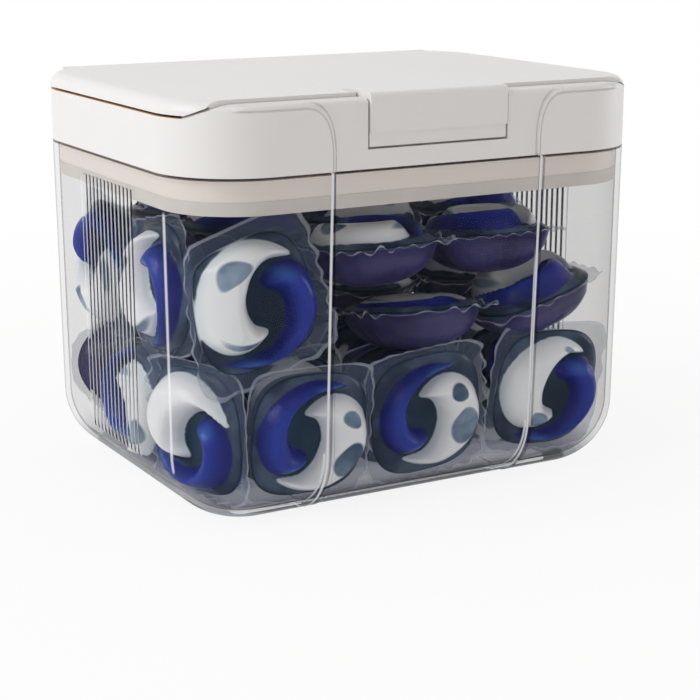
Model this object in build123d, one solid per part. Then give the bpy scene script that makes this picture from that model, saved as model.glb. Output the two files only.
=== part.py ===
from build123d import *
from math import atan, cos, degrees, radians, sin, sqrt, tan
import os

os.makedirs("parts", exist_ok=True)

# A clear tub with a white lid frame plugged into its rim, a flip lid hinged at the back of the frame
# and a lift-up latch at the front. Laundry pods rest loose in the tub.
# Front is -Y, up is +Z, and the origin is the centre of the face that the tub rests on.

# Outline that the tub, the lid frame and the lid share
width = 200.0
depth = 160.0
corner_radius = 32.0

# Clear tub
tub_height = 131.5
tub_wall = 2.4
tub_floor = 2.6
tub_draft_inset = 1.1         # how far each side leans in from rim to floor
tub_edge_radius = 27.0        # outside, where wall meets floor
panel_half_width = 44.0       # sunk panel in the front wall, carried on in the lid frame
panel_sink = 0.8
groove_count = 13             # upright grooves in each side wall
groove_pitch = 3.72
groove_width = 1.9
groove_sink = 0.6
groove_top_margin = 9.5       # rim to the grooves' upper ends

# Lid frame
seat_gap = 0.3                # running clearance between pieces that part from each other
frame_band = 20.2             # height of the outside band
frame_wall = 2.4
deck_drop = 2.0               # top of the band down to the deck
deck_thickness = 2.2
skirt_depth = 13.5            # how far the skirt reaches into the tub
skirt_gap = 0.6               # skirt to the tub's inner wall, at the rim
skirt_wall = 1.8
ledge_depth = 9.0             # fixed ledge in front of the lid
ledge_drop = 1.5              # lid's top down to the ledge
ledge_edge_radius = 2.0
flare_width = 12.5            # how far the sunk panel widens towards the ledge
flare_start = 4.2             # lower end of the frame up to where it starts to widen
ramp_high_margin = 21.0       # outside face to where the ledge starts to fall towards its end
ramp_low_margin = 4.5         # outside face to where it has come down to the band's top
ramp_turn_margin = 12.0       # outside face to where it goes under the lid's corner
ramp_back_margin = 18.0       # front face to the ramp's end beside the lid
mouth_side_margin = 28.0      # outside face to the mouth's edge
mouth_front_margin = 30.0
mouth_back_margin = 22.0
mouth_radius = 20.0
lip_width = 2.0
lip_height = 1.6

# Silicone band round the skirt
band_seal_height = 5.0
band_seal_sink = 0.9          # how far it sits in the skirt
band_seal_clearance = 0.25

# Flip lid
lid_gap = 1.0                 # visible seam between band and lid
lid_rise = 5.5                # side of the lid
lid_wall = 2.2
lid_edge_radius = 5.0
lid_front_gap = 0.5           # lid to the ledge
liner_thickness = 2.0
liner_margin = 5.0            # liner past the mouth's edge
channel_wall = 1.2
channel_height = 1.9
seal_squeeze_gap = 0.3        # lid seal to the lip, at rest

# Hinge at the back
hinge_radius = 6.0            # roll at the lid's back edge, round the hinge line
hinge_clearance = 0.3
hinge_end_margin = 12.5       # outside face to the end of the hinge roll
trough_wall = 2.2
knuckle_radius = 3.4
ear_margin = 46.0             # outside face to the inner side of an ear
ear_width = 8.0
knuckle_width = 9.0
pin_radius = 1.25
press_clearance = 0.02
running_clearance = 0.06
roll_end_angle = -30.0

# Latch
latch_half_width = 29.4
latch_side_gap = 0.8
latch_thickness = 2.5
latch_proud = 0.6             # latch above the lid's top
latch_front_height = 14.5     # latch's top to the lower end of its upper face
grip_height = 5.0
grip_sink = 1.1
pocket_depth = 4.2
pocket_floor_gap = 0.8
pocket_wall = 2.4
latch_back = 19.7             # front face to the back of the latch's barrel
latch_pin_radius = 0.8
boss_wall = 3.0
boss_floor = 2.1
catch_height = 1.6
catch_rise = 2.4              # latch's foot up to the catch

# Laundry pods, and the gaps and margins of the way they lie
film_side = 51.0
film_corner = 7.0             # cut across each corner
film_thickness = 0.8
chamber_side = 45.0
chamber_corner = 11.0
belly_depth = 16.5
dome_height = 10.6
groove_middle = 7.0           # winding groove between the two top chambers, across its floor
groove_end = 1.8
groove_floor = 2.0            # film up to the groove's floor
groove_lean = 3.0             # how much further out the groove's walls are at the top
pod_gap = 0.7
stand_gap = 0.5               # pod to what it rests on
toe_room = 3.0                # pods beside a wall stand on the rounded edge of the floor
layout_half_x = 96.5          # half of the space that the pods' places below are set out in
layout_half_y = 76.5
corner_pod_in = 3.0           # pod in the front left corner, against the pods at that wall
corner_pod_back = 35.2        # front wall to its middle
corner_pod_lift = 0.8
front_row_left = 22.6         # left wall to the pods along the front
front_row_right = 8.8
front_row_in = 1.1
left_row_front = 60.0         # front wall to the pods along the left wall
left_row_in = 1.5
rear_row_left = 8.0
rear_row_right = 5.0
rear_row_in = 1.4
rear_row_lift = 0.4
standing_slack = 2.0          # extra pitch of the pods that lean along a wall
middle_left = 1.5
middle_right = 8.0
middle_front = 2.2
middle_rear = 2.0
middle_stagger = 1.0
upper_corner_x = 30.5         # left wall to the pod that stands above the front row
upper_left_front = 33.0
upper_left_rear = 8.0
top_front_in = 0.4
top_row_x = (-14.0, 38.5)     # the two pods on top of the front heap
lower_row_x = (6.0, 59.0)     # the two below them
lower_row_lift = 1.5
heap_left = 0.3
heap_right = 6.8
heap_middle_y = 0.6
heap_rear_in = 2.0
heap_lift = 1.3

# Heights and places that follow
frame_low = tub_height + seat_gap
frame_top = frame_low + frame_band
deck_top = frame_top - deck_drop
deck_low = deck_top - deck_thickness
skirt_low = tub_height - skirt_depth
lid_low = frame_top + lid_gap
lid_top = lid_low + lid_rise
lid_under = lid_top - lid_wall
hinge_half_length = width / 2 - hinge_end_margin
ear_inner = width / 2 - ear_margin
corner_roll_start = ear_inner + ear_width + knuckle_width + 1
ledge_top = lid_top - ledge_drop
front = -depth / 2
back = depth / 2
side = width / 2
ledge_back = front + ledge_depth
skirt_inset = tub_wall + skirt_gap
draft = degrees(atan(tub_draft_inset / tub_height))
hinge_y = back - hinge_radius
hinge_z = lid_top - hinge_radius


def outline(inset=0.0):
    return RectangleRounded(width - 2 * inset, depth - 2 * inset, corner_radius - inset)


def slab(inset, low, high):
    return Pos(0, 0, low) * extrude(outline(inset), high - low)


def block(x_span, y_span, z_span):
    sizes = [high - low for low, high in (x_span, y_span, z_span)]
    middle = [(low + high) / 2 for low, high in (x_span, y_span, z_span)]
    return Pos(*middle) * Box(*sizes)


def rod(radius, x_low, x_high, y, z):
    length = x_high - x_low
    return Pos((x_low + x_high) / 2, y, z) * Rot(0, 90, 0) * Cylinder(radius, length)


def span(sign, low, high):
    return (low, high) if sign > 0 else (-high, -low)


# Tub

def tub_block(inset, low, edge_radius):
    rim = Plane(origin=(0, 0, tub_height), z_dir=(0, 0, -1)) * outline(inset)
    solid = extrude(rim, tub_height - low, taper=draft)
    return fillet(solid.faces().sort_by(Axis.Z)[0].edges(), edge_radius)


def side_grooves():
    cuts = []
    for sign in (1, -1):
        for index in range(groove_count):
            y = (index - (groove_count - 1) / 2) * groove_pitch
            cuts.append(block(span(sign, side - tub_draft_inset - groove_sink, side + 1),
                              (y - groove_width / 2, y + groove_width / 2),
                              (0, tub_height - groove_top_margin)))
    return cuts


def make_tub():
    outside = tub_block(0, 0, tub_edge_radius)
    band = block((-panel_half_width, panel_half_width), (front - 1, 0), (-1, tub_height + 1))
    sunk = (outside & band) - Pos(0, panel_sink, 0) * outside
    inside = tub_block(tub_wall, tub_floor, tub_edge_radius - tub_wall)
    return outside - sunk - inside - side_grooves()


# Lid frame

def pocket_span():
    return (-latch_half_width - latch_side_gap, latch_half_width + latch_side_gap)


latch_top = lid_top + latch_proud
latch_foot = latch_top - latch_front_height - grip_height
pocket_low = latch_foot - pocket_floor_gap
pocket_back = front + pocket_depth
latch_seat = latch_top - latch_thickness - seat_gap
barrel_radius = latch_thickness - 0.4
latch_axis_y = front + latch_back - barrel_radius
latch_axis_z = latch_top - barrel_radius


def mouth(grow=0.0):
    long = width - 2 * mouth_side_margin + 2 * grow
    deep = depth - mouth_front_margin - mouth_back_margin + 2 * grow
    middle = (mouth_front_margin - mouth_back_margin) / 2
    return Pos(0, middle) * RectangleRounded(long, deep, mouth_radius + grow)


def mouth_slab(grow, low, high):
    return Pos(0, 0, low) * extrude(mouth(grow), high - low)


def ear(sign):
    x_low, x_high = span(sign, ear_inner, ear_inner + ear_width)
    arm = block((x_low, x_high), (hinge_y - hinge_radius - 2, hinge_y),
                (hinge_z - knuckle_radius + 1, hinge_z + 0.6))
    solid = arm + rod(knuckle_radius, x_low, x_high, hinge_y, hinge_z)
    return solid - rod(pin_radius + running_clearance, x_low - 1, x_high + 1, hinge_y, hinge_z)


def flared_panel():
    # the sunk panel seen from the front: upright sides that widen in a curve up to the ledge
    start = (panel_half_width, frame_low + flare_start)
    end = (panel_half_width + flare_width, ledge_top - ledge_edge_radius / 2)
    right = Line((panel_half_width, frame_low - 1), start) + Spline(start, end, tangents=[(0, 1), (1, 0)])
    right += Line(end, (end[0], ledge_top + 1))
    left = mirror(right, Plane.YZ)
    rims = Line((-panel_half_width, frame_low - 1), (panel_half_width, frame_low - 1))
    rims += Line((-end[0], ledge_top + 1), (end[0], ledge_top + 1))
    return extrude(Plane.XZ * make_face(right + left + rims), -front + 1)


def under_ramp(rise=0.0):
    # all that lies under the ledge's top, which falls in an S-curve at both ends, seen from the front
    high = (side - ramp_high_margin, ledge_top + rise)
    low = (side - ramp_low_margin, frame_top + rise)
    top = Line((0, high[1]), high) + Spline(high, low, tangents=[(1, 0), (1, -0.6)])
    top += Line(low, (side + 1, low[1]))
    base = Line((0, high[1]), (0, frame_low)) + Line((0, frame_low), (side + 1, frame_low))
    base += Line((side + 1, frame_low), (side + 1, low[1]))
    half = extrude(Plane.XZ * make_face(top + base), -front + 1)
    return half + mirror(half, Plane.YZ)


def ramp_corners(z_low, z_high):
    return [block(span(sign, side - ramp_turn_margin, side), (front, front + ramp_back_margin),
                  (z_low, z_high)) for sign in (1, -1)]


def make_lid_frame():
    ledge = slab(0, frame_low, ledge_top)
    ledge = fillet(ledge.faces().sort_by(Axis.Z)[-1].edges(), ledge_edge_radius)
    ledge &= block((-side, side), (front, ledge_back), (frame_low, ledge_top)) + ramp_corners(
        frame_low, ledge_top)
    body = slab(0, frame_low, frame_top) + (ledge & under_ramp())
    body -= (body & flared_panel()) - Pos(0, panel_sink, 0) * body
    inner = skirt_inset + skirt_wall
    body -= slab(inner, frame_low, deck_low)
    hollow_side = side - ramp_high_margin
    body -= slab(frame_wall, deck_low, ledge_top - frame_wall) & block(
        (-hollow_side, hollow_side), (front, ledge_back - frame_wall), (deck_low, ledge_top))
    body -= slab(frame_wall, deck_top, frame_top) & block(
        (-side, side), (ledge_back, back), (deck_top, frame_top))
    skirt = slab(skirt_inset, skirt_low, frame_low) - slab(inner, skirt_low, frame_low)
    seal_top = skirt_low + band_seal_height
    skirt -= slab(0, skirt_low, seal_top) - slab(skirt_inset + band_seal_sink, skirt_low, seal_top)
    housing = block((pocket_span()[0] - pocket_wall, pocket_span()[1] + pocket_wall),
                    (front + frame_wall, pocket_back + pocket_wall), (pocket_low - pocket_wall, frame_top))
    housing &= slab(0, frame_low, frame_top)
    trough = rod(hinge_radius + hinge_clearance + trough_wall, -hinge_half_length - trough_wall,
                 hinge_half_length + trough_wall, hinge_y, hinge_z) & slab(0, frame_low, frame_top)
    body += [skirt, housing, trough]
    body += mouth_slab(lip_width, deck_low, deck_top + lip_height)
    body -= mouth_slab(0, deck_low - 1, deck_top + lip_height + 1)
    body -= rod(hinge_radius + hinge_clearance, -hinge_half_length - hinge_clearance,
                hinge_half_length + hinge_clearance, hinge_y, hinge_z)
    body -= block(pocket_span(), (front - 1, pocket_back), (pocket_low, ledge_top + 1))
    body -= block(pocket_span(), (front - 1, ledge_back + 1), (latch_seat, ledge_top + 1))
    catch_z = latch_foot + catch_rise
    catch = block((-latch_half_width / 2, latch_half_width / 2),
                  (pocket_back - catch_depth, pocket_back), (catch_z, catch_z + catch_height))
    body += [catch, ear(1), ear(-1)]
    return body


# Latch

latch_gap = pocket_depth - latch_thickness
catch_depth = (latch_gap - seat_gap) / 2


def make_latch():
    reach = (-latch_half_width, latch_half_width)
    top = block(reach, (front, latch_axis_y), (latch_top - latch_thickness, latch_top))
    face = block(reach, (front, front + latch_thickness), (latch_top - latch_front_height, latch_top))
    grip = block(reach, (front + grip_sink, front + latch_thickness),
                 (latch_foot, latch_top - latch_front_height))
    barrel = rod(barrel_radius, *reach, latch_axis_y, latch_axis_z)
    nub_z = latch_foot + catch_rise - seat_gap - catch_height
    nub = block((-latch_half_width / 2, latch_half_width / 2),
                (front + latch_thickness, front + latch_thickness + catch_depth),
                (nub_z, nub_z + catch_height))
    solid = top + face + grip + barrel + nub
    corner = solid.edges().filter_by(Axis.X).group_by(Axis.Z)[-1].sort_by(Axis.Y)[0]
    solid = fillet(corner, ledge_edge_radius)
    return solid - rod(latch_pin_radius + running_clearance, -side, side, latch_axis_y, latch_axis_z)


# Flip lid

def hinge_roll():
    bounds = (-hinge_half_length, hinge_half_length)
    roll = rod(hinge_radius, *bounds, hinge_y, hinge_z)
    roll -= rod(knuckle_radius + hinge_clearance, *bounds, hinge_y, hinge_z)
    far = 3 * hinge_radius
    cut = Polyline((0, far), (0, 0), (far * cos(radians(roll_end_angle)), far * sin(radians(roll_end_angle))),
                   (far, far), close=True)
    keep = extrude(Plane.YZ * make_face(cut), width, both=True)
    return roll & Pos(0, hinge_y, hinge_z) * keep & slab(0, frame_low, lid_top)


def knuckle(sign, low):
    x_low, x_high = span(sign, low, low + knuckle_width)
    web = block((x_low, x_high), (hinge_y - knuckle_radius, hinge_y + knuckle_radius), (hinge_z, lid_under))
    return web + rod(knuckle_radius, x_low, x_high, hinge_y, hinge_z)


def make_lid_shell():
    outside = slab(0, lid_low, lid_top)
    outside = fillet(outside.faces().sort_by(Axis.Z)[-1].edges(), lid_edge_radius)
    lid_front = ledge_back + lid_front_gap
    outside -= block((-side, side), (front, lid_front), (lid_low, lid_top))
    outside -= [corner & under_ramp(lid_gap) for corner in ramp_corners(lid_low, lid_under)]
    rear = block((-side, side), (hinge_y, back), (lid_low, lid_top))
    outside -= rear - rod(hinge_radius, -side, side, hinge_y, hinge_z)
    hollow = slab(lid_wall, lid_low, lid_under) & block(
        (-side, side), (lid_front + lid_wall, back), (lid_low, lid_under))
    boss_side = pocket_span()[1] + boss_wall
    barrel_low = latch_axis_z - barrel_radius - seat_gap
    boss = block((-boss_side, boss_side), (lid_front, front + latch_back + seat_gap + lid_wall),
                 (barrel_low - boss_floor, lid_under))
    corner_rolls = [rod(hinge_radius, *span(sign, corner_roll_start, hinge_half_length), hinge_y, hinge_z)
                    & slab(0, frame_low, lid_top) for sign in (1, -1)]
    knuckles = [knuckle(sign, low) for sign in (1, -1)
                for low in (ear_inner - hinge_clearance - knuckle_width,
                            ear_inner + ear_width + hinge_clearance)]
    shell = outside - hollow + [boss, hinge_roll(), *corner_rolls, *knuckles]
    shell -= block(pocket_span(), (front - 1, front + latch_back + seat_gap), (barrel_low, lid_top + 1))
    shell -= rod(latch_pin_radius + press_clearance, -boss_side + 1, boss_side - 1,
                 latch_axis_y, latch_axis_z)
    return shell - rod(pin_radius + press_clearance, -side, side, hinge_y, hinge_z)


def make_lid_liner():
    plate = mouth_slab(liner_margin, lid_under - liner_thickness, lid_under)
    channel_low = lid_under - liner_thickness - channel_height
    channel_out = lip_width + 0.5 + channel_wall
    outer_rib = mouth_slab(channel_out, channel_low, lid_under) - mouth_slab(
        channel_out - channel_wall, channel_low, lid_under)
    inner_rib = mouth_slab(-0.5, channel_low, lid_under) - mouth_slab(-0.5 - channel_wall, channel_low, lid_under)
    return plate + outer_rib + inner_rib


def make_lid_seal():
    low = deck_top + lip_height + seal_squeeze_gap
    high = lid_under - liner_thickness
    return mouth_slab(lip_width + 0.5, low, high) - mouth_slab(-0.5, low, high)


def make_frame_seal():
    inset = skirt_inset - band_seal_clearance
    high = skirt_low + band_seal_height
    return slab(inset, skirt_low, high) - slab(skirt_inset + band_seal_sink, skirt_low, high)


def make_latch_pin():
    reach = pocket_span()[1] + boss_wall - 1.2
    return rod(latch_pin_radius, -reach, reach, latch_axis_y, latch_axis_z)


def make_hinge_pin(sign):
    low = ear_inner - knuckle_width
    return rod(pin_radius, *span(sign, low, low + 2 * knuckle_width + ear_width), hinge_y, hinge_z)


# Laundry pods

def chamber(steps):
    # faceted bulge on the film, one tapered layer for each pair of height and slope
    solid, inset, low = None, 0.0, 0.0
    for rise, slope in steps:
        across = chamber_side - 2 * inset
        cut = chamber_corner - inset * (2 - sqrt(2))
        base = chamfer(Rectangle(across, across).vertices(), cut)
        layer = Pos(0, 0, low) * extrude(base, rise, taper=slope)
        solid = layer if solid is None else solid + layer
        inset += rise * tan(radians(slope))
        low += rise
    return solid


def parting():
    # winding groove that divides the upper bulge into two commas, widest in the middle, with leaning walls
    reach = chamber_side / 2
    path = [(0, 1.15 * reach), (-0.40 * reach, 0.78 * reach), (-0.44 * reach, 0.32 * reach)]
    widths = [groove_end, groove_end, groove_middle]
    path += [(-x, -y) for x, y in reversed(path)]
    widths += widths[::-1]

    def ring(grow, z):
        right = [(x + across / 2 + grow, y, z) for (x, y), across in zip(path, widths)]
        left = [(x - across / 2 - grow, y, z) for (x, y), across in zip(path, widths)]
        return right + left[::-1]

    low, high = ring(0, groove_floor), ring(groove_lean, dome_height + 1)
    walls = [(low[i - 1], low[i], high[i], high[i - 1]) for i in range(len(low))]
    faces = [Face(Wire.make_polygon(points, close=True)) for points in [low, high, *walls]]
    return Solid(Shell(faces))


def make_pod():
    corner = chamfer(Rectangle(film_side, film_side).vertices(), film_corner)
    film = extrude(corner, film_thickness / 2, both=True)
    belly = chamber([(belly_depth * 0.6, 20.0), (belly_depth * 0.4, 55.0)])
    dome = chamber([(dome_height * 0.55, 26.0), (dome_height * 0.45, 50.0)]) - parting()
    return Rot(180, 0, 0) * belly + dome + film


def places(start, end, pitch):
    # as many places as fit between two walls, the first half a pitch in
    count = int((end - start) // pitch)
    return [start + pitch * (index + 0.5) for index in range(count)]


face = dome_height + pod_gap                        # wall to the film of a pod that faces it
thick = dome_height + belly_depth + 2 * pod_gap
pitch = film_side + pod_gap
low_z = tub_floor + film_side / 2 + toe_room
high_z = low_z + film_side + pod_gap
middle_z = tub_floor + film_side / 2 + stand_gap
lying_z = middle_z + film_side / 2 + stand_gap + belly_depth
left_film = -layout_half_x + face
front_film = -layout_half_y + face
stretch_x = (side - tub_wall - tub_draft_inset) / layout_half_x
stretch_y = (-front - tub_wall - tub_draft_inset) / layout_half_y
pod_scale = min(stretch_x, stretch_y)


def standing_low():
    # along the front wall, with the first pod turned towards the left wall
    rows = [(left_film + corner_pod_in, -layout_half_y + corner_pod_back, low_z + corner_pod_lift, -162, 93, 90)]
    for x in places(-layout_half_x + front_row_left, layout_half_x - front_row_right, pitch + standing_slack):
        rows.append((x, front_film + front_row_in, low_z, -90, 96, 90))
    for y in places(-layout_half_y + left_row_front, layout_half_y - thick, pitch):
        rows.append((left_film + left_row_in, y, low_z, 180, 94, 0))
    for x in places(-layout_half_x + rear_row_left, layout_half_x - rear_row_right, pitch + standing_slack):
        rows.append((x, layout_half_y - face - rear_row_in, low_z + rear_row_lift, 90, 98, 90))
    # the middle of the tub, row behind row
    shift = (dome_height - belly_depth) / 2
    columns = places(-layout_half_x + thick + middle_left, layout_half_x - middle_right, pitch - pod_gap)
    for column, x in enumerate(columns):
        for y in places(-layout_half_y + thick + middle_front, layout_half_y - thick - middle_rear, thick):
            rows.append((x, y + shift + column % 2 * middle_stagger, middle_z, -90, 90, 90 * column))
    return rows


def upper_layers():
    rows = [(-layout_half_x + upper_corner_x, front_film + front_row_in, high_z, -90, 90, 0)]
    for y in places(-layout_half_y + upper_left_front, layout_half_y - upper_left_rear, pitch):
        rows.append((left_film, y, high_z, 180, 90, 0))
    level = dome_height + belly_depth + stand_gap
    front_y = -layout_half_y + film_side / 2 + top_front_in
    rows += [(x, front_y, lying_z + level, 0, 0, spin) for x, spin in zip(top_row_x, (0, -90))]
    rows.append((lower_row_x[0], front_y, lying_z, 0, 0, 90))
    rows.append((lower_row_x[1], front_y, lying_z + lower_row_lift, 180, 9, 0))
    columns = places(-layout_half_x + thick + heap_left, layout_half_x - heap_right, pitch)
    for row, y in enumerate((heap_middle_y, layout_half_y - film_side / 2 - heap_rear_in)):
        for x in columns:
            for layer in (0, 1):
                rows.append((x, y, lying_z + layer * level + heap_lift * (1 - row), 0, 0, 90 * (row + layer)))
    return rows


def place_pod(pod, x, y, z, heading, tilt, spin):
    # x, y, z of the film's middle, heading and tilt of the domes, and spin in the film's plane;
    # in a smaller or larger tub the layout and the pods follow its inner space
    spot = Pos(x * stretch_x, y * stretch_y, tub_floor + (z - tub_floor) * pod_scale)
    return spot * Rot(0, 0, heading) * Rot(0, tilt, 0) * Rot(0, 0, spin) * pod


pieces = {
    "tub": make_tub(),
    "lid_frame": make_lid_frame(),
    "frame_seal": make_frame_seal(),
    "lid_shell": make_lid_shell(),
    "lid_liner": make_lid_liner(),
    "lid_seal": make_lid_seal(),
    "latch": make_latch(),
    "latch_pin": make_latch_pin(),
    "hinge_pin_left": make_hinge_pin(-1),
    "hinge_pin_right": make_hinge_pin(1),
}

pod = scale(make_pod(), pod_scale)
for index, spot in enumerate(standing_low() + upper_layers()):
    pieces[f"pod_{index + 1:02d}"] = place_pod(pod, *spot)

for name, solid in pieces.items():
    export_step(solid, f"parts/{name}.step")
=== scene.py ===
import math
import random

import bmesh
import bpy
from mathutils import Matrix, Vector


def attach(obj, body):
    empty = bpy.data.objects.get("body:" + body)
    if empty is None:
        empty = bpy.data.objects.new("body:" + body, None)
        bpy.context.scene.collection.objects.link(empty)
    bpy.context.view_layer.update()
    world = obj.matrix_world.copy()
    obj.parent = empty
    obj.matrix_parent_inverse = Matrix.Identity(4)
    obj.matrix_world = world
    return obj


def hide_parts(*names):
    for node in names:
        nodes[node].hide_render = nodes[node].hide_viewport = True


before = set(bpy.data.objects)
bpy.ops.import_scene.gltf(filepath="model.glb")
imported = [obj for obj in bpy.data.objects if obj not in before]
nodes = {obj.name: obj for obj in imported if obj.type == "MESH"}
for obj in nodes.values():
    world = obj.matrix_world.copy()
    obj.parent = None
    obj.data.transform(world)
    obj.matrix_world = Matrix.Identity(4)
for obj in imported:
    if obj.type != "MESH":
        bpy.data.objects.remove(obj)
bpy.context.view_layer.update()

mm = 0.001


# Materials

def newMaterial(name):
    mat = bpy.data.materials.new(name)
    mat.use_nodes = True
    tree = mat.node_tree
    return mat, tree, tree.nodes["Principled BSDF"]


def setInputs(node, values):
    for key, value in values.items():
        node.inputs[key].default_value = value


def addNode(tree, kind, inputs=None, **settings):
    node = tree.nodes.new(kind)
    for key, value in settings.items():
        setattr(node, key, value)
    setInputs(node, inputs or {})
    return node


def objectCoords(tree):
    return addNode(tree, "ShaderNodeTexCoord").outputs["Object"]


def noise(tree, coords, scale, detail, distortion=0.0):
    node = addNode(tree, "ShaderNodeTexNoise", {"Scale": scale, "Detail": detail, "Distortion": distortion})
    tree.links.new(coords, node.inputs["Vector"])
    return node.outputs["Fac"]


def addBump(tree, height, bsdf, strength, distance):
    bump = addNode(tree, "ShaderNodeBump", {"Strength": strength, "Distance": distance})
    tree.links.new(height, bump.inputs["Height"])
    tree.links.new(bump.outputs["Normal"], bsdf.inputs["Normal"])


def ramp(tree, source, stops):
    node = addNode(tree, "ShaderNodeValToRGB")
    tree.links.new(source, node.inputs["Fac"])
    while len(node.color_ramp.elements) < len(stops):
        node.color_ramp.elements.new(0.5)
    for element, (position, color) in zip(node.color_ramp.elements, stops):
        element.position = position
        element.color = (*color, 1.0)
    return node.outputs["Color"]


def mixColor(tree, factor, first, second):
    node = addNode(tree, "ShaderNodeMix", data_type="RGBA")
    for socket, value in ((node.inputs[0], factor), (node.inputs[6], first), (node.inputs[7], second)):
        if isinstance(value, (tuple, float, int)):
            socket.default_value = (*value, 1.0) if isinstance(value, tuple) else value
        else:
            tree.links.new(value, socket)
    return node.outputs[2]


def mapRange(tree, source, low, high):
    node = addNode(tree, "ShaderNodeMapRange", {"From Min": low, "From Max": high},
                   interpolation_type="SMOOTHSTEP")
    tree.links.new(source, node.inputs["Value"])
    return node.outputs["Result"]


def calc(tree, operation, *values):
    node = addNode(tree, "ShaderNodeMath", operation=operation)
    for socket, value in zip(node.inputs, values):
        if isinstance(value, (float, int)):
            socket.default_value = value
        else:
            tree.links.new(value, socket)
    return node.outputs[0]


def times(tree, first, *others):
    for other in others:
        first = calc(tree, "MULTIPLY", first, other)
    return first


def nearTo(tree, source, middle, half, soft):
    # 1 within half of the middle, falling to 0 over soft
    away = calc(tree, "ABSOLUTE", calc(tree, "SUBTRACT", source, middle))
    return mapRange(tree, away, half + soft, half)


def mixShader(tree, factor, first, second):
    node = addNode(tree, "ShaderNodeMixShader")
    for socket, value in zip(node.inputs, (factor, first, second)):
        tree.links.new(value, socket)
    return node.outputs[0]


def axesInMm(tree, coords):
    split = addNode(tree, "ShaderNodeSeparateXYZ")
    tree.links.new(coords, split.inputs[0])
    return [calc(tree, "MULTIPLY", split.outputs[k], 1000.0) for k in "XYZ"]


whiteValues = {
    "color": (0.815, 0.800, 0.785),
    "skirtColor": (0.870, 0.800, 0.745),   # the plug inside the tub, in its shade
    "frameLow": (131.2, 131.6),            # lower end of the band that shows outside
    "seam": 152.5,                         # level faces in the gap between band and lid, which get a warm painted shade
    "seamLine": (0.53, 0.02),
    "seamLevel": (0.9, 0.97),
    "seamFrom": (78.0, 80.0),              # sides and corners only
    "seamShadeColor": (0.78, 0.50, 0.24),
    "roughness": (0.31, 0.42),
    "cloud": 14.0,                         # dull and shiny areas
    "specular": 0.45,
    "scatter": 0.04,
    "scatterDepth": 1.5,
    "grain": 900.0,
    "grainHeight": 0.006,
    "flareMiddle": 56.5,                   # raised line along the sunk panel's flared sides
    "flareLow": 136.0,
    "flareWide": 12.5,
    "flareTall": 20.0,
    "flarePower": 2.6,
    "flareLine": (0.35, 0.75),
    "flareHeight": 0.85,
    "flareFront": (-76.0, -78.0),
}


def whitePlastic():
    v = whiteValues
    mat, tree, bsdf = newMaterial("whitePlastic")
    coords = objectCoords(tree)
    x, y, z = axesInMm(tree, coords)
    wide = calc(tree, "ABSOLUTE", x)
    color = mixColor(tree, mapRange(tree, z, *v["frameLow"]), v["skirtColor"], v["color"])
    facing = addNode(tree, "ShaderNodeSeparateXYZ")
    tree.links.new(addNode(tree, "ShaderNodeTexCoord").outputs["Normal"], facing.inputs[0])
    level = mapRange(tree, calc(tree, "ABSOLUTE", facing.outputs["Z"]), *v["seamLevel"])
    # painted shade: warm and darker on the level faces in the gap between band and lid
    seam = times(tree, nearTo(tree, z, v["seam"], *v["seamLine"]), level,
                 mapRange(tree, wide, *v["seamFrom"]))
    tree.links.new(mixColor(tree, seam, color, v["seamShadeColor"]), bsdf.inputs["Base Color"])

    low, high = v["roughness"]
    shine = addNode(tree, "ShaderNodeMapRange", {"To Min": low, "To Max": high})
    tree.links.new(noise(tree, coords, v["cloud"], 3.0), shine.inputs["Value"])
    tree.links.new(shine.outputs["Result"], bsdf.inputs["Roughness"])

    # the flared line is a rounded corner: a power curve through flareWide and flareTall
    power = v["flarePower"]
    across = calc(tree, "DIVIDE", calc(tree, "SUBTRACT", v["flareMiddle"], wide), v["flareWide"])
    along = calc(tree, "DIVIDE", calc(tree, "SUBTRACT", z, v["flareLow"]), v["flareTall"])
    curve = calc(tree, "ADD", calc(tree, "POWER", calc(tree, "MAXIMUM", across, 0.0), power),
                 calc(tree, "POWER", calc(tree, "MAXIMUM", along, 0.0), power))
    away = times(tree, calc(tree, "SUBTRACT", calc(tree, "POWER", curve, 1 / power), 1.0), v["flareWide"])
    frameLow = v["frameLow"][1]
    line = times(tree, nearTo(tree, away, 0.0, *v["flareLine"]), mapRange(tree, y, *v["flareFront"]),
                 mapRange(tree, z, frameLow, frameLow + 1), v["flareHeight"])
    grain = times(tree, noise(tree, coords, v["grain"], 2.0), v["grainHeight"])
    addBump(tree, calc(tree, "ADD", line, grain), bsdf, 1.0, 1.0 * mm)
    setInputs(bsdf, {"Specular IOR Level": v["specular"], "Subsurface Weight": v["scatter"],
                     "Subsurface Scale": v["scatterDepth"] * mm})
    return mat


siliconeValues = {"dark": (0.66, 0.63, 0.59), "light": (0.72, 0.69, 0.65), "cloud": 60.0,
                  "cloudHeight": 0.1, "roughness": 0.55, "scatter": 0.2, "scatterDepth": 2.0}


def silicone():
    v = siliconeValues
    mat, tree, bsdf = newMaterial("silicone")
    cloud = noise(tree, objectCoords(tree), v["cloud"], 4.0)
    color = ramp(tree, cloud, ((0.3, v["dark"]), (0.7, v["light"])))
    tree.links.new(color, bsdf.inputs["Base Color"])
    addBump(tree, cloud, bsdf, 0.1, v["cloudHeight"] * mm)
    setInputs(bsdf, {"Roughness": v["roughness"], "Subsurface Weight": v["scatter"],
                     "Subsurface Scale": v["scatterDepth"] * mm})
    return mat


steelValues = {"color": (0.56, 0.56, 0.57), "roughness": 0.28, "streak": 400.0,
               "stretch": (0.05, 1.0, 1.0), "streakHeight": 0.02}


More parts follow.
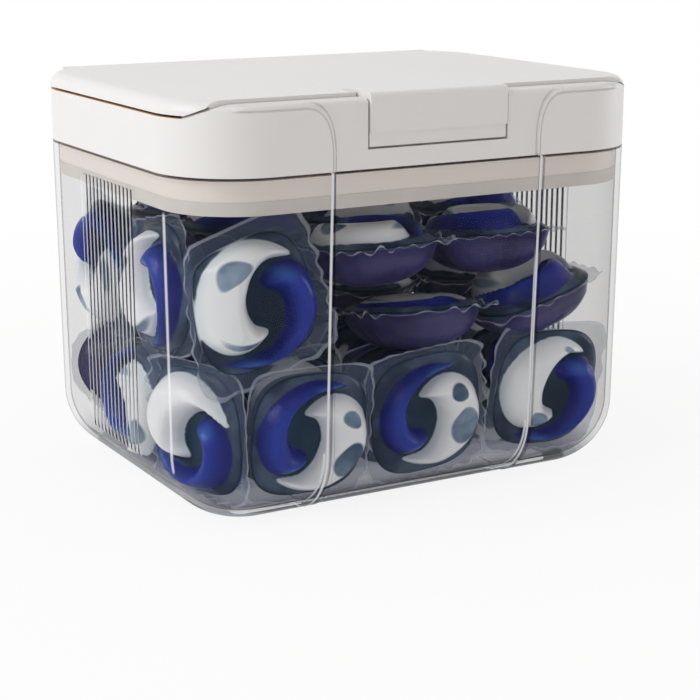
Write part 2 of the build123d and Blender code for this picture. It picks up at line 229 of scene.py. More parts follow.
def steel():
    v = steelValues
    mat, tree, bsdf = newMaterial("steel")
    stretch = addNode(tree, "ShaderNodeMapping", {"Scale": v["stretch"]})
    tree.links.new(objectCoords(tree), stretch.inputs["Vector"])
    streak = noise(tree, stretch.outputs["Vector"], v["streak"], 5.0)
    addBump(tree, streak, bsdf, 0.2, v["streakHeight"] * mm)
    setInputs(bsdf, {"Base Color": (*v["color"], 1.0), "Metallic": 1.0, "Roughness": v["roughness"]})
    return mat


# lengths in mm; a pair is where a change starts and is complete, or a line's half width and its soft edge
clearValues = {
    "tint": (0.880, 0.875, 0.875),
    "sideTint": (0.865, 0.860, 0.860),     # thicker at the corners and side walls
    "sideFrom": (70.0, 97.0),
    "rightShadeTint": (0.690, 0.685, 0.685),    # painted shade on the side wall away from the light
    "rightFrom": (-60.0, 30.0),
    "footTint": (0.520, 0.530, 0.560),     # rounded edge at the bottom, darker: thick curved plastic and painted shade
    "footShade": (0.290, 0.295, 0.325),    # painted shade on the same edge towards the right
    "foot": (14.0, 3.0),
    # painted shade on the tub's floor, under the pods
    "floorShadeTint": (0.170, 0.175, 0.205),
    "floorWide": (86.0, 83.0),
    "floorDeep": (66.0, 63.0),
    "floorTop": (4.0, 3.0),
    "rimLow": (130.6, 130.9),              # painted shade: dark line under the lid frame
    "rimShadeTint": (0.06, 0.05, 0.045),
    "frontFrom": (-45.0, -50.0),
    "outline": (1.7, 1.1),                 # painted contact shadow and dark reflection along the bottom front edge
    "contactShadowFrom": (-72.0, -58.0),
    "contactShadowTint": (0.02, 0.02, 0.025),
    "edge": (0.78, 0.96),                  # walls seen edge on
    "edgeTint": (0.30, 0.30, 0.32),
    "groovePitch": 3.72,                   # grooves in the outside of the side walls
    "grooveEnd": (24.5, 24.4),
    "grooveTop": (121.9, 121.8),
    "grooveOut": (97.9, 98.1),
    "grooveLine": (0.5, 0.4),
    # painted shade in the groove floors
    "grooveShadeTint": (0.012, 0.012, 0.015),
    # painted highlight lines on the ribs between the grooves
    "ribLine": (0.3, 0.6),
    "ribHighlight": 0.45,
    "panelEdge": 45.2,                     # step at the sides of the sunk panel, with a painted highlight line on it
    "panelLean": 0.02,
    "panelTop": 125.0,
    "panelLine": (0.42, 0.25),
    "panelHighlight": 0.85,
    "panelOut": (-77.6, -78.4),
    "panelFoot": (28.0, 26.0),
    "shadeShift": 1.35,                    # darker line beside that step
    "shadeLine": (0.3, 0.5),
    "shadeTint": (0.24, 0.24, 0.27),
    "cornerLine": -53.9,                   # painted highlight line where the left wall turns to the front
    "cornerWide": (0.25, 1.1),
    "cornerOut": (-97.6, -98.0),
    "cornerTop": (119.0, 116.0),
    "cornerHighlight": 0.6,
    "strip": 3.2,                          # painted highlight: a light strip along the front foot
    "stripLine": (1.0, 1.2),
    "stripHighlight": 0.16,
    # colour of the painted highlight lines
    "paintedHighlight": (0.90, 0.92, 0.95),
    "ior": 1.01,
    "coat": 0.07,
    "coatRoughness": 0.02,
    "wave": 9.0,                           # slow waves of a moulded wall
    "waveHeight": 0.25,
    "shadowTint": (0.97, 0.97, 0.97),
}


def clearPlastic():
    v = clearValues
    mat, tree, bsdf = newMaterial("clearPlastic")
    coords = objectCoords(tree)
    x, y, z = axesInMm(tree, coords)
    wide, deep = calc(tree, "ABSOLUTE", x), calc(tree, "ABSOLUTE", y)
    front = mapRange(tree, y, *v["frontFrom"])

    # walls, foot, rim and floor, with painted shade on the right side, the foot, the line under the lid frame,
    # the tub's floor and the bottom front edge
    right = mapRange(tree, x, *v["rightFrom"])
    side = mixColor(tree, right, v["sideTint"], v["rightShadeTint"])
    color = mixColor(tree, mapRange(tree, wide, *v["sideFrom"]), v["tint"], side)
    foot = mixColor(tree, right, v["footTint"], v["footShade"])
    color = mixColor(tree, mapRange(tree, z, *v["foot"]), color, foot)
    color = mixColor(tree, mapRange(tree, z, *v["rimLow"]), color, v["rimShadeTint"])
    under = times(tree, mapRange(tree, wide, *v["floorWide"]), mapRange(tree, deep, *v["floorDeep"]),
                  mapRange(tree, z, *v["floorTop"]))
    color = mixColor(tree, under, color, v["floorShadeTint"])
    # painted contact shadow along the bottom front edge
    outline = times(tree, front, mapRange(tree, x, *v["contactShadowFrom"]), mapRange(tree, z, *v["outline"]))
    color = mixColor(tree, outline, color, v["contactShadowTint"])

    # grooves in the side walls, with painted shade in their floors
    ribbed = times(tree, mapRange(tree, deep, *v["grooveEnd"]), mapRange(tree, wide, *v["grooveOut"]),
                   mapRange(tree, z, *v["grooveTop"]))
    zigzag = calc(tree, "PINGPONG", y, v["groovePitch"] / 2)
    groove = times(tree, nearTo(tree, zigzag, 0.0, *v["grooveLine"]), ribbed)
    color = mixColor(tree, groove, color, v["grooveShadeTint"])

    # step at the sides of the sunk panel, which leans with the wall: a painted highlight on the step and a
    # painted shade beside it
    leaning = calc(tree, "ADD", x, times(tree, calc(tree, "SUBTRACT", v["panelTop"], z), v["panelLean"]))
    step = nearTo(tree, calc(tree, "ABSOLUTE", leaning), v["panelEdge"], *v["panelLine"])
    beside = calc(tree, "ABSOLUTE", calc(tree, "SUBTRACT", leaning, v["shadeShift"]))
    shade = times(tree, nearTo(tree, beside, v["panelEdge"], *v["shadeLine"]), front)
    color = mixColor(tree, shade, color, v["shadeTint"])

    edge = addNode(tree, "ShaderNodeLayerWeight", {"Blend": 0.5}).outputs["Facing"]
    color = mixColor(tree, mapRange(tree, edge, *v["edge"]), color, v["edgeTint"])
    tree.links.new(color, bsdf.inputs["Base Color"])
    setInputs(bsdf, {"Roughness": 0.0, "IOR": v["ior"], "Transmission Weight": 1.0,
                     "Coat Weight": v["coat"], "Coat Roughness": v["coatRoughness"]})
    addBump(tree, noise(tree, coords, v["wave"], 1.0), bsdf, 0.25, v["waveHeight"] * mm)

    # painted highlights: light lines on the panel's step, the corner, the ribs between the grooves and the
    # foot
    outside = calc(tree, "MAXIMUM", mapRange(tree, y, *v["panelOut"]), mapRange(tree, z, *v["panelFoot"]))
    paintedHighlight = times(tree, step, outside, front, v["panelHighlight"])
    corner = times(tree, nearTo(tree, y, v["cornerLine"], *v["cornerWide"]),
                   mapRange(tree, x, *v["cornerOut"]), mapRange(tree, z, *v["cornerTop"]), v["cornerHighlight"])
    rib = times(tree, nearTo(tree, zigzag, v["groovePitch"] / 2, *v["ribLine"]), ribbed, v["ribHighlight"])
    strip = times(tree, nearTo(tree, z, v["strip"], *v["stripLine"]), front, v["stripHighlight"])
    for line in (corner, rib, strip):
        paintedHighlight = calc(tree, "MAXIMUM", paintedHighlight, line)
    highlightDiffuse = addNode(tree, "ShaderNodeBsdfDiffuse", {"Color": (*v["paintedHighlight"], 1.0)})
    wall = mixShader(tree, paintedHighlight, bsdf.outputs[0], highlightDiffuse.outputs[0])

    # light passes straight through to what the tub holds
    through = addNode(tree, "ShaderNodeBsdfTransparent", {"Color": (*v["shadowTint"], 1.0)})
    rays = addNode(tree, "ShaderNodeLightPath")
    lighting = calc(tree, "MAXIMUM", rays.outputs["Is Shadow Ray"], rays.outputs["Is Diffuse Ray"])
    wall = mixShader(tree, lighting, wall, through.outputs[0])
    tree.links.new(wall, tree.nodes["Material Output"].inputs["Surface"])
    return mat


podColors = {
    "milk": (0.900, 0.920, 0.935),
    "milkShade": (0.560, 0.650, 0.710),
    "milkEdge": (0.700, 0.790, 0.830),
    "window": (0.050, 0.095, 0.170),
    "windowLight": (0.300, 0.400, 0.520),
    "windowEdge": (0.900, 0.930, 0.940),
    "blueDeep": (0.008, 0.014, 0.125),
    "blue": (0.010, 0.029, 0.245),
    "blueMiddle": (0.020, 0.052, 0.370),
    # painted highlight in the blue chamber
    "blueHighlight": (0.050, 0.150, 0.520),
    "violet": (0.028, 0.031, 0.280),
    "gap": (0.004, 0.018, 0.042),
    "gapLight": (0.014, 0.048, 0.090),
    "outer": (0.018, 0.032, 0.066),
    "outerLight": (0.085, 0.120, 0.190),
    "belly": (0.022, 0.020, 0.080),
    "bellyLight": (0.066, 0.062, 0.190),
    # painted shade in the belly's pleats
    "pleat": (0.004, 0.004, 0.020),
    "film": (0.130, 0.180, 0.290),
    # lighter film edge, which also gets a painted glow
    "filmEdge": (0.700, 0.760, 0.860),
}
# a crease is a scale, a twist and a height in mm; distances are in mm, in from a chamber's outline
topValues = {
    "roughness": 0.22,
    "specular": 0.14,
    "cloud": 55.0,
    "cloudFrom": (0.35, 0.7),
    "crease": (110.0, 0.6, 0.3),
    "outerFrom": (17.0, 22.5),             # from the pod's middle, where the film grows lighter
    "chamberFrom": (-0.2, 0.3),
    "blueDepth": 6.0,
    "violetShare": 0.6,
    "blueHighlightShare": 0.7,
    "milkDepth": 2.0,
    "shadeShare": 0.15,
    "windowFrom": (-0.25, 0.1),
    "windowDepth": 0.9,
}
bellyValues = {"roughness": 0.28, "specular": 0.18, "cloud": 40.0, "crease": (90.0, 0.8, 0.4),
               "pleatFrom": (0.2, 0.9)}
# the film's edge has a painted glow, for light caught in its folds
filmValues = {"roughness": 0.2, "specular": 0.3, "crease": (150.0, 1.0, 0.4),
              "alpha": 0.20, "edgeAlpha": 0.38, "paintedEdgeGlow": 0.14}


shapeNames = ("white", "blue", "window", "streak", "rim")   # attributes of the pods' upper side


def field(tree, name):
    return addNode(tree, "ShaderNodeAttribute", attribute_name=name).outputs["Fac"]


def creased(tree, coords, bsdf, v, detail, strength):
    scale, twist, height = v["crease"]
    addBump(tree, noise(tree, coords, scale, detail, twist), bsdf, strength, height * mm)
    setInputs(bsdf, {"Roughness": v["roughness"], "Specular IOR Level": v["specular"]})


def podTop():
    c, v = podColors, topValues
    mat, tree, bsdf = newMaterial("podTop")
    coords = objectCoords(tree)
    cloudy = mapRange(tree, noise(tree, coords, v["cloud"], 3.0), *v["cloudFrom"])
    white, blue, window, streak, rim = (field(tree, name) for name in shapeNames)
    color = mixColor(tree, cloudy, c["gap"], c["gapLight"])
    outer = mixColor(tree, cloudy, c["outer"], c["outerLight"])
    color = mixColor(tree, mapRange(tree, rim, *v["outerFrom"]), color, outer)
    depth = mapRange(tree, blue, 0.0, v["blueDepth"])
    blueFill = ramp(tree, depth, ((0.0, c["blueDeep"]), (0.4, c["blue"]), (1.0, c["blueMiddle"])))
    blueFill = mixColor(tree, times(tree, cloudy, v["violetShare"]), blueFill, c["violet"])
    # painted highlights: lighter streaks in the blue chamber
    blueFill = mixColor(tree, times(tree, streak, v["blueHighlightShare"]), blueFill, c["blueHighlight"])
    color = mixColor(tree, mapRange(tree, blue, *v["chamberFrom"]), color, blueFill)
    milk = mixColor(tree, mapRange(tree, white, 0.0, v["milkDepth"]), c["milkEdge"], c["milk"])
    milk = mixColor(tree, times(tree, cloudy, v["shadeShare"]), milk, c["milkShade"])
    glass = mixColor(tree, cloudy, c["window"], c["windowLight"])
    glass = mixColor(tree, mapRange(tree, window, 0.0, v["windowDepth"]), c["windowEdge"], glass)
    milk = mixColor(tree, mapRange(tree, window, *v["windowFrom"]), milk, glass)
    color = mixColor(tree, mapRange(tree, white, *v["chamberFrom"]), color, milk)
    tree.links.new(color, bsdf.inputs["Base Color"])
    creased(tree, coords, bsdf, v, 2.0, 0.2)
    return mat


def podBelly():
    c, v = podColors, bellyValues
    mat, tree, bsdf = newMaterial("podBelly")
    coords = objectCoords(tree)
    cloud = noise(tree, coords, v["cloud"], 4.0)
    color = ramp(tree, cloud, ((0.35, c["belly"]), (0.75, c["bellyLight"])))
    # painted shade darkens the pleats
    pleat = mapRange(tree, field(tree, "pleat"), *v["pleatFrom"])
    tree.links.new(mixColor(tree, pleat, color, c["pleat"]), bsdf.inputs["Base Color"])
    creased(tree, coords, bsdf, v, 3.0, 0.3)
    return mat


def podFilm(name, alpha, color, glow):
    mat, tree, bsdf = newMaterial(name)
    creased(tree, objectCoords(tree), bsdf, filmValues, 3.0, 0.35)
    # glow is painted light, used on the film's edge
    setInputs(bsdf, {"Base Color": (*color, 1.0), "Emission Color": (*color, 1.0), "Emission Strength": glow,
                     "Alpha": alpha})
    return mat


print("materials")
white, rubber, metal, clear = whitePlastic(), silicone(), steel(), clearPlastic()
finishes = {"tub": clear, "frame_seal": rubber, "lid_seal": rubber, "latch_pin": metal,
            "hinge_pin_left": metal, "hinge_pin_right": metal}
for name, obj in nodes.items():
    finish = finishes.get(name, white)
    if not obj.material_slots:
        obj.data.materials.append(finish)
    for materialSlot in obj.material_slots:
        materialSlot.material = finish


# Laundry pods

pod = {
    "bodyHalf": 24.4,        # lower chamber, a rounded square
    "bodyPower": 3.0,
    "filmHalf": 27.0,
    "filmPower": 7.0,
    "bellyDepth": 16.2,
    "shelf": 2.2,            # lower chamber's bulge above the film
    "domeHeight": 8.4,       # commas above that bulge
    "roundOver": 7.5,
    "bellyRings": 12,
    "flangeRings": 5,
    "ruffle": 1.5,
    "ruffleOut": 0.5,
    "ruffleWaves": 19,
    "ruffleSizes": (0.6, 1.0),
    "ruffleSpread": (-6, 8),
    "shelfSoft": 4.0,        # how far in the bulge is rounded
    "roundPower": 2.3,
    "bellyRound": (2.7, 0.62),
    "pleatDepth": 0.12,      # share of the belly's depth
    "pleatFrom": 0.68,
    "filmHalfThick": 0.12,
    "filmTaper": 0.6,
    "edgeFrom": 0.85,        # share of the film's width, where its lighter edge starts
    "filmMargin": 1.2,       # least film outside the chambers
    "fineSegments": 144,     # pods in view
    "fineRings": 32,
    "coarseSegments": 64,    # the others
    "coarseRings": 14,
    "cornerReach": 28.0,     # the node's film corners lie further out than this
    "filmEdge": 37.0,        # straight edge between the node's film corners
}
# outlines of the two upper chambers, in mm from the pod's middle
whiteComma = ((14.0, 15.8), (7.0, 20.6), (-1.5, 22.4), (-10.5, 20.0), (-17.8, 15.0), (-22.4, 8.0),
              (-23.4, -0.5), (-20.6, -9.0), (-14.5, -14.6), (-7.5, -16.4), (-0.8, -14.6), (4.2, -9.6),
              (-1.2, -6.6), (-3.8, -0.8), (-3.2, 5.2), (-0.4, 11.0), (5.0, 15.0))
blueComma = ((-13.5, -18.6), (-5.5, -21.8), (3.5, -22.2), (11.5, -19.6), (18.4, -14.0), (22.6, -6.0),
             (22.8, 2.5), (19.4, 10.0), (13.4, 14.0), (6.6, 13.0), (1.6, 8.8), (3.4, 5.4), (8.4, 3.0),
             (10.6, -3.0), (9.4, -9.8), (4.0, -15.2), (-4.0, -17.8))
# clear windows in the white chamber: middle, half width, half height, turn, bend
plainWindows = ((-11.4, 12.8, 8.4, 4.2, 27.0, 0.030), (-8.2, -13.0, 10.5, 1.7, -4.0, -0.040))
windowsOf = {"pod_02": ((-13.2, 8.6, 8.2, 6.0, 50.0, 0.02), (-12.6, -8.2, 5.4, 3.4, -30.0, -0.02)),
             "pod_03": ((-13.0, 5.6, 8.6, 6.4, 66.0, 0.02), (-11.0, -9.4, 4.8, 4.0, -20.0, 0.0)),
             "pod_04": ((2.6, 18.4, 4.2, 1.6, -14.0, 0.03), (-7.4, -10.4, 5.6, 3.6, -20.0, -0.04)),
             "pod_01": ((-9.0, -12.2, 5.4, 1.7, -10.0, -0.045),)}
# painted highlights, lighter streaks in the blue chamber: middle, half width, half height
blueHighlightStreaks = ((9.0, 10.5, 6.0, 3.0), (-4.0, -19.8, 8.0, 2.0))


def smoothLoop(points, steps=4):
    # a smooth closed curve through the points
    loop, count = [], len(points)
    for k in range(count):
        p = [points[(k + j) % count] for j in (-1, 0, 1, 2)]
        for step in range(steps):
            t = step / steps
            loop.append(tuple(0.5 * (2 * p[1][i] + (p[2][i] - p[0][i]) * t
                                     + (2 * p[0][i] - 5 * p[1][i] + 4 * p[2][i] - p[3][i]) * t * t
                                     + (3 * p[1][i] - p[0][i] - 3 * p[2][i] + p[3][i]) * t ** 3)
                              for i in (0, 1)))
    return loop


def loopDistance(loop, x, y):
    # signed distance to a closed outline, positive inside
    nearest, inside = 1e9, False
    px, py = loop[-1]
    for qx, qy in loop:
        dx, dy = qx - px, qy - py
        t = max(0.0, min(1.0, ((x - px) * dx + (y - py) * dy) / (dx * dx + dy * dy + 1e-12)))
        nearest = min(nearest, (x - px - t * dx) ** 2 + (y - py - t * dy) ** 2)
        if (py > y) != (qy > y) and x < px + (y - py) / (qy - py) * dx:
            inside = not inside
        px, py = qx, qy
    return math.sqrt(nearest) * (1 if inside else -1)


def topFields(x, y, swirl, windows):
    c, r = math.cos(math.radians(swirl)), math.sin(math.radians(swirl))
    x, y = x * c + y * r, y * c - x * r
    clearest = -9.0
    for cx, cy, wide, tall, turn, bend in windows:
        t = math.radians(turn)
        u = (x - cx) * math.cos(t) + (y - cy) * math.sin(t)
        w = (y - cy) * math.cos(t) - (x - cx) * math.sin(t) + bend * u * u
        clearest = max(clearest, (1 - math.hypot(u / wide, w / tall)) * tall)
    streak = max(1 - math.hypot((x - cx) / wide, (y - cy) / tall) for cx, cy, wide, tall in blueHighlightStreaks)
    streak = max(streak, 0.0)
    return loopDistance(whiteLoop, x, y), loopDistance(blueLoop, x, y), clearest, streak, math.hypot(x, y)


whiteLoop, blueLoop = smoothLoop(whiteComma), smoothLoop(blueComma)


def superRadius(angle, half, power):
    c, s = abs(math.cos(angle)), abs(math.sin(angle))
    return half / (c ** power + s ** power) ** (1.0 / power)


def roundOver(distance, width):
    return 1 - (1 - min(1.0, max(0.0, distance / width))) ** pod["roundPower"]


def podMaster(seed, seg, topRings, own, windows=plainWindows):
    # a closed skin: rings from the belly's middle out to the film's edge, and back to the middle of the top
    rng = random.Random(seed)
    waves = [(rng.uniform(*pod["ruffleSizes"]), pod["ruffleWaves"] + rng.randint(*pod["ruffleSpread"]),
              rng.uniform(0, 6.28)) for _ in range(3)]
    bm = bmesh.new()
    swirl = own["swirl"] - own["turn"]
    layers = [bm.verts.layers.float.new(name) for name in shapeNames]
    pleats = bm.verts.layers.float.new("pleat")

    def place(vert, index, part, t, side):
        angle = 2 * math.pi * index / seg
        body = superRadius(angle, pod["bodyHalf"], pod["bodyPower"])
        film = superRadius(angle, pod["filmHalf"] + own["film"], pod["filmPower"])
        body = min(body, film - pod["filmMargin"])
        ruffle = sum(size * math.sin(count * angle + shift) for size, count, shift in waves) / 2.0
        r = body * t
        z = 0.0
        if part == "flange":
            r = body + (film - body) * t + pod["ruffleOut"] * t * ruffle
            z = pod["ruffle"] * ruffle * t * t + side * pod["filmHalfThick"] * (1 - pod["filmTaper"] * t)
        elif part == "belly":
            pleat = max(0.0, math.sin(pod["ruffleWaves"] * angle + waves[0][2])) ** 4
            fade = max(0.0, (t - pod["pleatFrom"]) / (1 - pod["pleatFrom"])) * (1 - t) * 4
            flat, full = pod["bellyRound"]
            z = -pod["bellyDepth"] * (1 - t ** flat) ** full * (1 - pod["pleatDepth"] * pleat * fade)
            vert[pleats] = pleat * fade
        else:
            size = own["size"]
            values = topFields(r * math.cos(angle) / size, r * math.sin(angle) / size, swirl, windows)
            comma = max(values[:2])
            z = pod["shelf"] * roundOver((1 - t) * body, pod["shelfSoft"])
            z += own["dome"] * pod["domeHeight"] * roundOver(comma, pod["roundOver"])
            for layer, value in zip(layers, values):
                vert[layer] = value
        vert.co = Vector((r * math.cos(angle), r * math.sin(angle), z)) * mm

    steps = [("belly", (k + 1) / pod["bellyRings"], -1) for k in range(pod["bellyRings"])]
    steps += [("flange", (k + 1) / pod["flangeRings"], -1) for k in range(pod["flangeRings"])]
    steps += [("flange", 1 - k / pod["flangeRings"], 1) for k in range(pod["flangeRings"] + 1)]
    steps += [("top", 1 - (k + 1) / (topRings + 1), 1) for k in range(topRings)]
    made = bmesh.ops.create_circle(bm, cap_ends=True, cap_tris=True, segments=seg, radius=1.0)
    ring = [v for v in made["verts"] if len(v.link_edges) < seg]
    centre = [v for v in made["verts"] if len(v.link_edges) >= seg][0]
    centre.co = Vector((0, 0, -pod["bellyDepth"])) * mm
    ring.sort(key=lambda v: math.atan2(v.co.y, v.co.x) % (2 * math.pi))
    zone = {"belly": 0, "flange": 1, "top": 2, "edge": 3}   # places in podMaterials
    for number, (part, t, side) in enumerate(steps):
        if number:
            before = set(ring)
            edges = [bm.edges.get((ring[i], ring[(i + 1) % seg])) for i in range(seg)]
            made = bmesh.ops.extrude_edge_only(bm, edges=edges)
            mate = {}
            for vert in [g for g in made["geom"] if isinstance(g, bmesh.types.BMVert)]:
                for edge in vert.link_edges:
                    if edge.other_vert(vert) in before:
                        mate[edge.other_vert(vert)] = vert
            ring = [mate[v] for v in ring]
            look = zone["edge" if part == "flange" and t > pod["edgeFrom"] else part]
            for face in [g for g in made["geom"] if isinstance(g, bmesh.types.BMFace)]:
                face.material_index = look
        for index, vert in enumerate(ring):
            place(vert, index, part, t, side)
    cap = bmesh.ops.contextual_create(bm, geom=ring)
    for face in cap["faces"]:
        face.material_index = zone["top"]
    bmesh.ops.triangulate(bm, faces=cap["faces"])
    bmesh.ops.recalc_face_normals(bm, faces=bm.faces)
    for face in bm.faces:
        face.smooth = True
    mesh = bpy.data.meshes.new("podMaster")
    bm.to_mesh(mesh)
    bm.free()
    for mat in podMaterials:
        mesh.materials.append(mat)
    return mesh


def podPose(node):
    # the film's middle, its edge direction nearest to upright and the commas' side, from the node's corners
    verts = [v.co.copy() for v in nodes[node].data.vertices]
    middle = sum(verts, Vector()) / len(verts)
    corners = [v for v in verts if (v - middle).length > pod["cornerReach"] * mm]
    middle = sum(corners, Vector()) / len(corners)
    first = corners[0] - middle
    second = min((c - middle for c in corners), key=lambda d: abs(d.normalized().dot(first.normalized())))
    normal = first.cross(second).normalized()
    depths = [(v - middle).dot(normal) for v in verts]
    if max(depths) > -min(depths):
        normal = -normal
    best = None
    for one in corners:
        for other in corners:
            gap = other - one
            if abs(gap.length - pod["filmEdge"] * mm) < 0.2 * mm:
                score = gap.normalized().dot(Vector((0.1, 0.02, 1.0)))   # mostly upright, and never a tie
                if best is None or score > best[0] + 1e-6:
                    best = (score, gap.normalized())
    up = (best[1] - normal * best[1].dot(normal)).normalized()
    return middle, up, normal


# room inside the tub, in mm
inside = {"halfX": 97.3, "halfY": 77.3, "corner": 29.2, "leastCorner": 4.0, "floor": 2.9, "foot": 24.4,
          "lean": 1.1, "rim": 131.5}


def confine(point):
    # film that would pass through the clear wall is bent along it
    v = inside
    z = max(point.z, v["floor"] * mm)
    pull = v["lean"] * (1 - z / mm / v["rim"])
    rise = v["foot"] - (z / mm - v["floor"])
    if rise > 0:
        pull += v["foot"] - math.sqrt(max(0.0, v["foot"] ** 2 - min(rise, v["foot"]) ** 2))
    r = max(v["leastCorner"], v["corner"] - pull) * mm
    hx, hy = (v["halfX"] - pull) * mm, (v["halfY"] - pull) * mm
    x, y = point.x, point.y
    dx, dy = abs(x) - (hx - r), abs(y) - (hy - r)
    if dx > 0 and dy > 0:
        out = math.hypot(dx, dy)
        if out > r:
            x, y = math.copysign(hx - r + dx * r / out, x), math.copysign(hy - r + dy * r / out, y)
    x, y = max(-hx, min(hx, x)), max(-hy, min(hy, y))
    return Vector((x, y, z))


podMaterials = [podBelly(), podFilm("podFilm", filmValues["alpha"], podColors["film"], 0.0), podTop(),
                podFilm("podFilmEdge", filmValues["edgeAlpha"], podColors["filmEdge"], filmValues["paintedEdgeGlow"])]
# pods in view: turn of the film and of the commas in its own plane, tilt towards the front and roll to the
# left in degrees; shift along X and Z and extra half width of the film in mm; size of the commas and height
# of the domes
plainPod = {"turn": 0, "swirl": 0, "tilt": 0, "roll": 0, "x": 0, "z": 0, "film": 0, "size": 1.0, "dome": 1.0}
inView = {"pod_01": {"swirl": -34},
          "pod_02": {"turn": -2, "swirl": 178, "x": 0.2},
          "pod_03": {"turn": 5, "swirl": 188, "x": -2.0, "z": 1.0, "size": 0.95},
          "pod_04": {"turn": -4, "swirl": -6, "x": 1.0, "z": 3.5, "film": 0.5},
          "pod_18": {"turn": 18, "swirl": 2, "x": -3.4, "z": 1.0, "film": 3.0, "size": 1.07},
          "pod_05": {"turn": 4, "swirl": 200},
          "pod_19": {"turn": 12, "swirl": 30},
          "pod_20": {"turn": -8, "swirl": 120},
          "pod_21": {"turn": 6, "swirl": 150, "tilt": 5, "dome": 0.8},
          "pod_22": {"turn": -8, "swirl": -20, "tilt": 5, "dome": 0.85},
          "pod_23": {"turn": 4, "tilt": 9, "dome": 0.25},
          "pod_24": {"turn": -6, "swirl": 10, "tilt": 3, "roll": 9}}


def makePods():
    coarse = [podMaster(seed, pod["coarseSegments"], pod["coarseRings"], plainPod) for seed in (11, 12)]
    rng = random.Random(4)
    for number, node in enumerate(sorted(n for n in nodes if n.startswith("pod_"))):
        middle, up, normal = podPose(node)
        own = {**plainPod, **inView.get(node, {"turn": rng.uniform(0, 360)})}
        middle += Vector((own["x"], 0, own["z"])) * mm
        basis = Matrix((up.cross(normal), up, normal)).transposed().to_4x4()
        tilt, roll, turn = (math.radians(own[key]) for key in ("tilt", "roll", "turn"))
        lean = Matrix.Rotation(-tilt, 4, "X") @ Matrix.Rotation(-roll, 4, "Y")
        place = Matrix.Translation(middle) @ lean @ basis @ Matrix.Rotation(turn, 4, "Z")
        if node in inView:
            windows = windowsOf.get(node, plainWindows)
            mesh = podMaster(number, pod["fineSegments"], pod["fineRings"], own, windows)
        else:
            mesh = coarse[number % len(coarse)].copy()
        mesh.transform(place)
        for vert in mesh.vertices:
            vert.co = confine(vert.co)
        obj = bpy.data.objects.new(node.replace("pod_", "laundryPod"), mesh)
        bpy.context.scene.collection.objects.link(obj)
        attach(obj, "tub")
        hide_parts(node)


print("laundry pods")
makePods()


# Floor, light and camera

# metres and watts
stage = {
    "floorSize": 12.0,
    "floorColor": (0.95, 0.95, 0.95),
    "floorGlow": 1.0,
    "paperGlow": 0.87,                     # share of the glow by the tub, all of it further out
    "paperFrom": (0.12, 0.6),
    "fill": 0.56,
    "fillColor": (1.0, 0.965, 0.950),
    "lampColor": (0.97, 0.99, 1.0),
    "lampAim": (0, 0, 0.08),
    "keyPower": 7.2,
    "keyPlace": (-1.06, 0.10, 0.86),
    "keySize": 0.7,
    "stripPower": 0.7,
    "stripPlace": (-1.05, -0.49, 0.35),
    "stripSize": (0.03, 0.9),
    "rimPower": 2.2,
    "rimPlace": (1.1, -0.2, 0.3),
    "rimSize": 0.5,
}


def seenRays(tree):
    # what the camera sees directly, mirrored or through the clear walls
    rays = addNode(tree, "ShaderNodeLightPath")
    bent = calc(tree, "MAXIMUM", rays.outputs["Is Glossy Ray"], rays.outputs["Is Transmission Ray"])
    return calc(tree, "MAXIMUM", rays.outputs["Is Camera Ray"], bent)


def litFloor():
    bm = bmesh.new()
    bmesh.ops.create_grid(bm, x_segments=1, y_segments=1, size=stage["floorSize"] / 2)
    mesh = bpy.data.meshes.new("floor")
    bm.to_mesh(mesh)
    bm.free()
    floor = bpy.data.objects.new("floor", mesh)
    bpy.context.scene.collection.objects.link(floor)
    mat, tree, bsdf = newMaterial("floorPaper")
    setInputs(bsdf, {"Base Color": (*stage["floorColor"], 1.0), "Roughness": 1.0, "Specular IOR Level": 0.0})
    glow = addNode(tree, "ShaderNodeEmission", {"Color": (1, 1, 1, 1), "Strength": stage["floorGlow"]})
    away = addNode(tree, "ShaderNodeVectorMath", operation="LENGTH")
    tree.links.new(objectCoords(tree), away.inputs[0])
    near, far = stage["paperFrom"]
    share = {"From Min": near, "From Max": far, "To Min": stage["paperGlow"]}
    paper = addNode(tree, "ShaderNodeMapRange", share)
    tree.links.new(away.outputs["Value"], paper.inputs["Value"])
    seen = times(tree, seenRays(tree), paper.outputs["Result"])
    surface = mixShader(tree, seen, bsdf.outputs[0], glow.outputs[0])
    tree.links.new(surface, tree.nodes["Material Output"].inputs["Surface"])
    mesh.materials.append(mat)


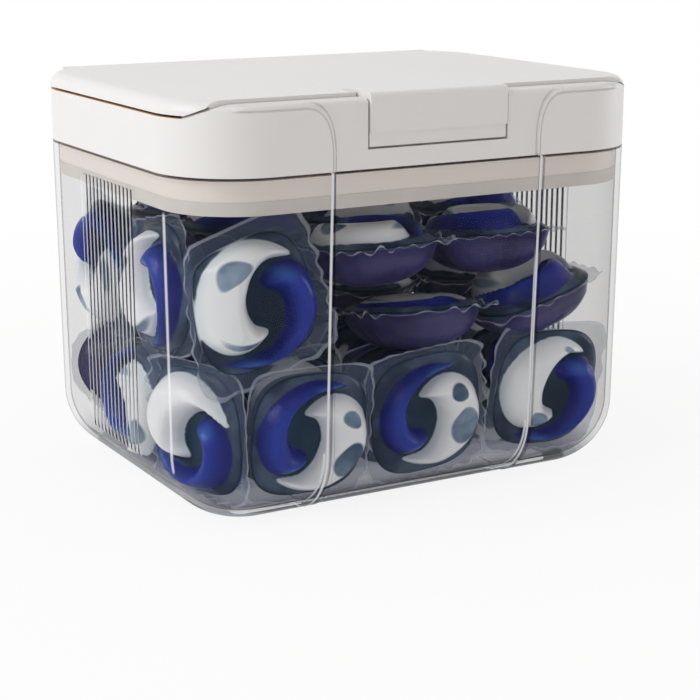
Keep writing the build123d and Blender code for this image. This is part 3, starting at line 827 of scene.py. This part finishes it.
def setWorld():
    world = bpy.data.worlds.new("studio")
    bpy.context.scene.world = world
    world.use_nodes = True
    tree = world.node_tree
    plain = tree.nodes["Background"]
    setInputs(plain, {"Color": (*stage["fillColor"], 1.0), "Strength": stage["fill"]})
    seen = addNode(tree, "ShaderNodeBackground", {"Color": (1, 1, 1, 1), "Strength": 1.0})
    backdrop = mixShader(tree, seenRays(tree), plain.outputs[0], seen.outputs[0])
    tree.links.new(backdrop, tree.nodes["World Output"].inputs["Surface"])


def addLamp(name, place, size, power, tall=None):
    lamp = bpy.data.lights.new(name, "AREA")
    lamp.size = size
    if tall:
        lamp.shape = "RECTANGLE"
        lamp.size_y = tall
    lamp.energy = power
    lamp.color = stage["lampColor"]
    obj = bpy.data.objects.new(name, lamp)
    obj.location = place
    obj.rotation_euler = (Vector(stage["lampAim"]) - Vector(place)).to_track_quat("-Z", "Y").to_euler()
    bpy.context.scene.collection.objects.link(obj)


# degrees and mm
photoView = {
    "azimuth": -29.575,
    "height": 14.285,
    "distance": 740.6,
    "target": (5.50, -3.12, 43.46),
    "lens": 91.37,
}


def addCamera():
    v = photoView
    a, e = math.radians(v["azimuth"]), math.radians(v["height"])
    back = Vector((math.sin(a) * math.cos(e), -math.cos(a) * math.cos(e), math.sin(e)))
    camera = bpy.data.cameras.new("camera")
    camera.lens = v["lens"]
    camera.sensor_width = 36.0
    camera.clip_start = 0.01
    obj = bpy.data.objects.new("camera", camera)
    obj.location = (Vector(v["target"]) + back * v["distance"]) * mm
    obj.rotation_euler = back.to_track_quat("Z", "Y").to_euler()
    bpy.context.scene.collection.objects.link(obj)
    bpy.context.scene.camera = obj


print("stage")
litFloor()
setWorld()
addLamp("keyLamp", stage["keyPlace"], stage["keySize"], stage["keyPower"])
stripWide, stripTall = stage["stripSize"]
addLamp("stripLamp", stage["stripPlace"], stripWide, stage["stripPower"], stripTall)
addLamp("rimLamp", stage["rimPlace"], stage["rimSize"], stage["rimPower"])
addCamera()
bpy.context.scene.view_settings.view_transform = "Standard"
